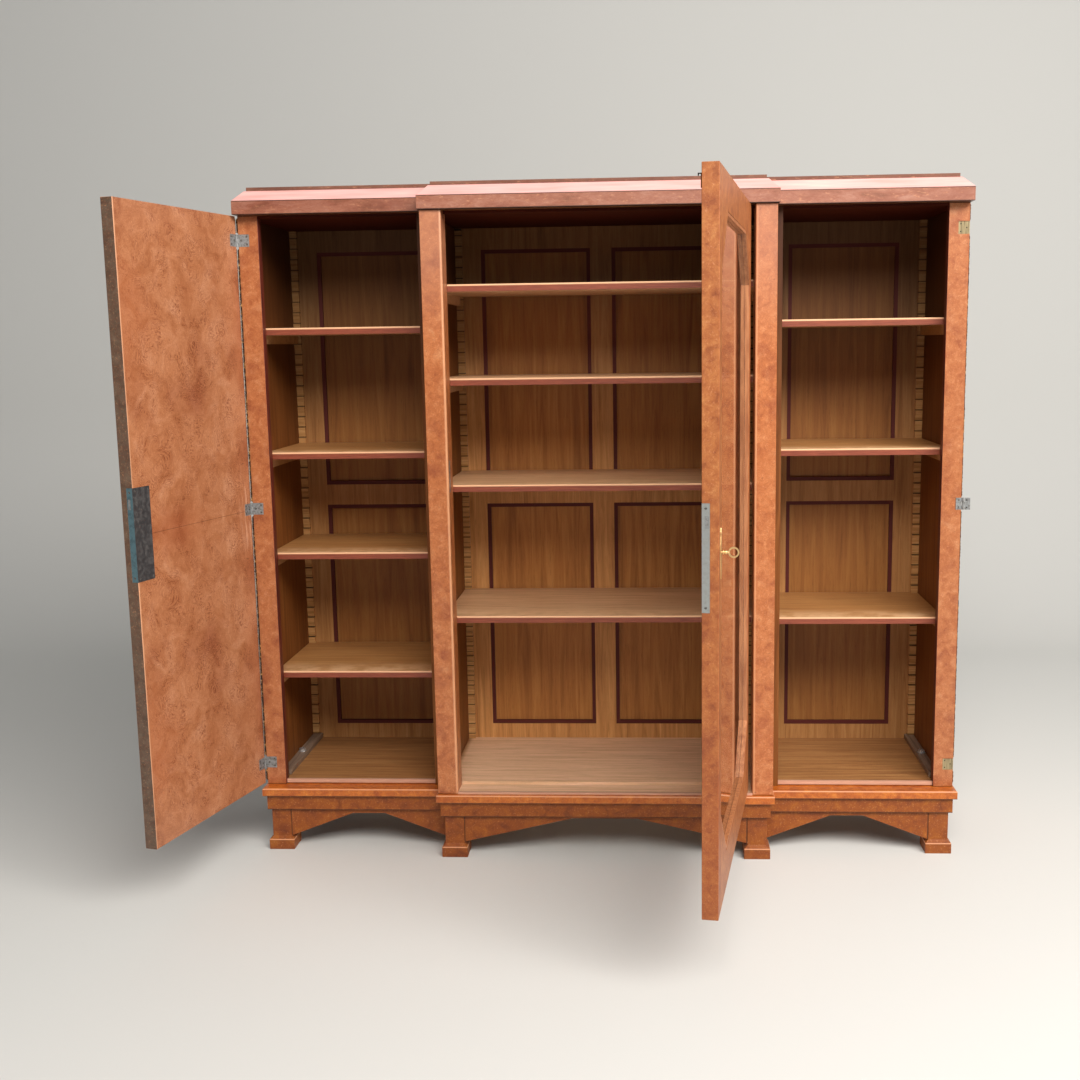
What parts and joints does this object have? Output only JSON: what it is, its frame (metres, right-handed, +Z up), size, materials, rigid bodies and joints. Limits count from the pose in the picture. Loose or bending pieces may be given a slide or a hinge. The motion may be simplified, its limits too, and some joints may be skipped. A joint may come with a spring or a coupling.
{
  "type": "china cabinet",
  "caption": "Breakfront china cabinet on arched plinth and block feet: hinged solid side door, glazed centre door with canted corners, loose shelves on toothed racks, moulded cornice.",
  "frame": {"origin": "on the floor, under the centre of the middle rear foot", "axes": "+X to the right along the front, +Y into the depth towards the wall, +Z up"},
  "size_m": [2.2376, 1.3489, 1.945],
  "materials": {
    "burr_veneer": "burr veneer, polished",
    "oak": "waxed oak",
    "pale_wood": "worn pale moulding, satin",
    "grey_wood": "unfinished, grey with age",
    "dark_bead": "dark red stain, polished",
    "steel": "aged, blue grey",
    "brass": "aged, satin",
    "glass": "clear, polished"
  },
  "bodies": {
    "cabinet": {"apron_centre": "burr_veneer", "apron_left": "burr_veneer", "apron_right": "burr_veneer", "back_frame": "oak", "back_panel": "oak", "base_band": "burr_veneer", "base_ledge": "burr_veneer", "batten_left": "grey_wood", "batten_right": "grey_wood", "case_bottom": "oak", "case_top": "oak", "cornice_chamfer": "pale_wood", "cornice_fascia": "burr_veneer", "cornice_soffit": "oak", "cornice_top_board": "pale_wood", "divider_left": "oak", "divider_right": "oak", "keeper_plate": "steel", "knock_down_bolt_left": "steel", "knock_down_bolt_right": "steel", "left_hinge_leaf_bottom": "steel", "left_hinge_leaf_middle": "steel", "left_hinge_leaf_top": "steel", "leg_centre_left": "burr_veneer", "leg_centre_right": "burr_veneer", "leg_left": "burr_veneer", "leg_right": "burr_veneer", "post_left": "burr_veneer", "post_right": "burr_veneer", "shelf_centre_1": "oak", "shelf_centre_2": "oak", "shelf_centre_3": "oak", "shelf_centre_4": "oak", "shelf_left_1": "oak", "shelf_left_2": "oak", "shelf_left_3": "oak", "shelf_left_4": "oak", "shelf_right_1": "oak", "shelf_right_2": "oak", "shelf_right_3": "oak", "side_left": "burr_veneer", "side_right": "burr_veneer", "stile_left": "burr_veneer", "stile_right": "burr_veneer"},
    "left_door": {"left_door_slab": "burr_veneer", "left_door_lock": "steel"},
    "left_lock_bolt": {"left_lock_bolt": "steel"},
    "centre_door": {"centre_door_bead_inner": "dark_bead", "centre_door_bead_outer": "dark_bead", "centre_door_bottom_rail": "burr_veneer", "centre_door_escutcheon": "brass", "centre_door_free_stile": "burr_veneer", "centre_door_glass": "glass", "centre_door_hinge_stile": "burr_veneer", "centre_door_lock": "steel", "centre_door_top_rail": "burr_veneer", "catch_hook": "steel"},
    "key": {"key": "brass"},
    "centre_lock_bolt": {"centre_lock_bolt": "steel"},
    "loose_leaf": {"right_hinge_loose_leaf": "steel"}
  },
  "joints": [
    {"name": "left_door_hinge", "type": "hinge", "parent": "cabinet", "child": "left_door", "pos_m": [-1.0262, -0.4045, 0.2005], "axis": [0, 0, 1], "range_deg": [-68, 104.4]},
    {"name": "left_bolt_slide", "type": "slide", "parent": "left_door", "child": "left_lock_bolt", "axis": [-0.2487, -0.9686, 0], "range_m": [0, 0.009]},
    {"name": "centre_door_hinge", "type": "hinge", "parent": "cabinet", "child": "centre_door", "pos_m": [0.4128, -0.4795, 0.203], "axis": [0, 0, 1], "range_deg": [-81.3, 65]},
    {"name": "key_turn", "type": "hinge", "parent": "centre_door", "child": "key", "pos_m": [0.27319, -1.27817, 1.044], "axis": [0.9885, -0.1513, 0], "range_deg": [0, 185]},
    {"name": "centre_bolt_slide", "type": "slide", "parent": "centre_door", "child": "centre_lock_bolt", "axis": [-0.1513, -0.9885, 0], "range_m": [0, 0.009]},
    {"name": "loose_leaf_hinge", "type": "hinge", "parent": "cabinet", "child": "loose_leaf", "pos_m": [1.0262, -0.4045, 1.0345], "axis": [0, 0, 1], "range_deg": [-170, 5]}
  ],
  "couplings": [
    {"joint": "key_turn", "follows": "centre_bolt_slide", "rad_per_m": 349}
  ]
}
